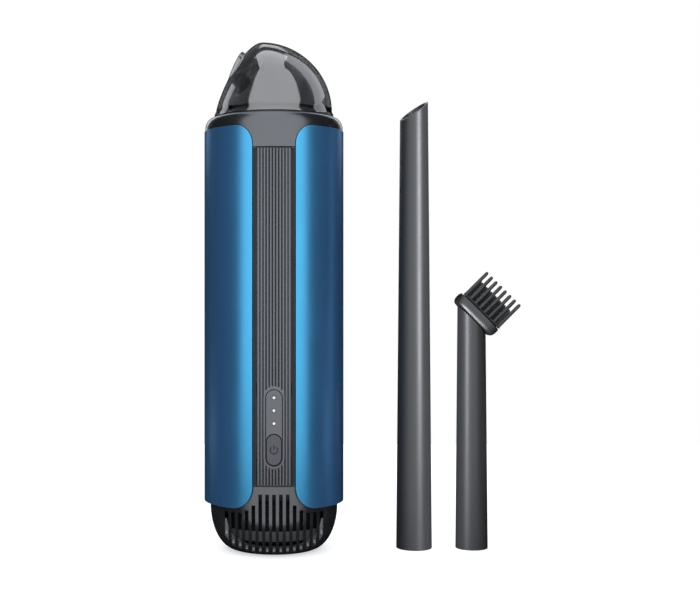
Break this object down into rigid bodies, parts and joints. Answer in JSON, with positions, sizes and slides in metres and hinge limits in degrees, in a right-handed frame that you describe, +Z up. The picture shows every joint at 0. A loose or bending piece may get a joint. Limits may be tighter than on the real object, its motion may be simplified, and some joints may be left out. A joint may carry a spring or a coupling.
{
  "type": "handheld vacuum cleaner",
  "caption": "Cordless handheld vacuum: slim upright cylinder with a smoked dust cup for a head and a slotted exhaust foot, with a long crevice nozzle and an angled brush nozzle.",
  "frame": {"origin": "centre of the rubber foot pad, on the surface that the vacuum stands on", "axes": "+Z up along the body, -Y out of the button side, -X towards the mouth; the two nozzles stand along +X"},
  "size_m": [0.1542, 0.0672, 0.2469],
  "materials": {
    "smoke_clear": "polished smoked clear plastic",
    "panel_blue": "satin metallic blue that turns from cyan to deep blue round the curve",
    "graphite_satin": "satin graphite plastic",
    "graphite_gloss": "gloss black plastic",
    "inner_plastic": "plain dark inner plastic",
    "nozzle_grey": "semi-gloss dark grey plastic",
    "bristle_black": "soft black bristle rubber",
    "rubber_black": "matt black rubber",
    "steel": "plain steel",
    "copper_winding": "lacquered copper winding",
    "circuit_green": "green solder mask",
    "cell_wrap": "shrink wrap over a steel cell",
    "filter_paper": "pleated white filter paper",
    "fan_white": "white moulded fan",
    "foam_black": "open cell foam",
    "light_white": "clear light pipe, lit white"
  },
  "bodies": {
    "housing": {"main_housing": "inner_plastic", "left_panel": "panel_blue", "right_panel": "panel_blue", "front_grip_strip": "graphite_satin", "rear_grip_strip": "graphite_satin", "top_collar": "graphite_satin", "indicator_plate": "graphite_satin", "light_pipe": "light_white", "exhaust_cap": "graphite_gloss", "foot_pad": "rubber_black", "exhaust_foam": "foam_black", "cap_screw_left": "steel", "cap_screw_right": "steel", "control_board": "circuit_green", "switch_body": "steel", "charge_board": "circuit_green", "charge_socket": "steel", "battery_cell_1": "cell_wrap", "battery_cell_2": "cell_wrap", "battery_cell_3": "cell_wrap", "battery_tray": "inner_plastic", "battery_top_holder": "inner_plastic", "motor_driver_board": "circuit_green", "motor_mount": "rubber_black", "motor_housing": "inner_plastic", "motor_can": "steel", "motor_end_plate": "steel", "stator": "copper_winding", "upper_bearing": "steel", "lower_bearing": "steel", "fan_shroud": "inner_plastic", "shroud_seal": "rubber_black"},
    "rotor": {"motor_shaft": "steel", "rotor_magnet": "steel", "impeller": "fan_white"},
    "button": {"power_button": "graphite_satin"},
    "cup": {"dust_cup": "smoke_clear", "inlet_socket": "inner_plastic", "flap_pin": "steel", "cup_gasket": "rubber_black"},
    "flap": {"inlet_flap": "rubber_black"},
    "filter": {"filter_frame": "inner_plastic", "filter_pleats": "filter_paper", "filter_screen": "steel"},
    "crevice": {"crevice_nozzle": "nozzle_grey"},
    "brush": {"brush_tube": "nozzle_grey", "brush_collar": "nozzle_grey", "front_bristles": "bristle_black", "rear_bristles": "bristle_black"}
  },
  "joints": [
    {"name": "power_button_press", "type": "slide", "parent": "housing", "child": "button", "axis": [0, 1, 0], "range_m": [0, 0.0006], "stiffness_N_per_m": 300, "springref_m": -0.001},
    {"name": "dust_cup_pull", "type": "slide", "parent": "housing", "child": "cup", "axis": [0, 0, 1], "range_m": [0, 0.07]},
    {"name": "inlet_flap_swing", "type": "hinge", "parent": "cup", "child": "flap", "pos_m": [-0.00601, 0, 0.2366], "axis": [0, -1, 0], "range_deg": [0, 50], "stiffness_Nm_per_rad": 0.0002, "springref_deg": -34.38},
    {"name": "filter_lift", "type": "slide", "parent": "housing", "child": "filter", "axis": [0, 0, 1], "range_m": [0, 0.007]},
    {"name": "impeller_spin", "type": "hinge", "parent": "housing", "child": "rotor", "pos_m": [0, 0, 0.1795], "axis": [0, 0, 1], "continuous": true},
    {"name": "crevice_nozzle_lift", "type": "slide", "parent": "housing", "child": "crevice", "axis": [0, 0, 1], "range_m": [0, 0.1]},
    {"name": "brush_nozzle_lift", "type": "slide", "parent": "housing", "child": "brush", "axis": [0, 0, 1], "range_m": [0, 0.1]}
  ]
}
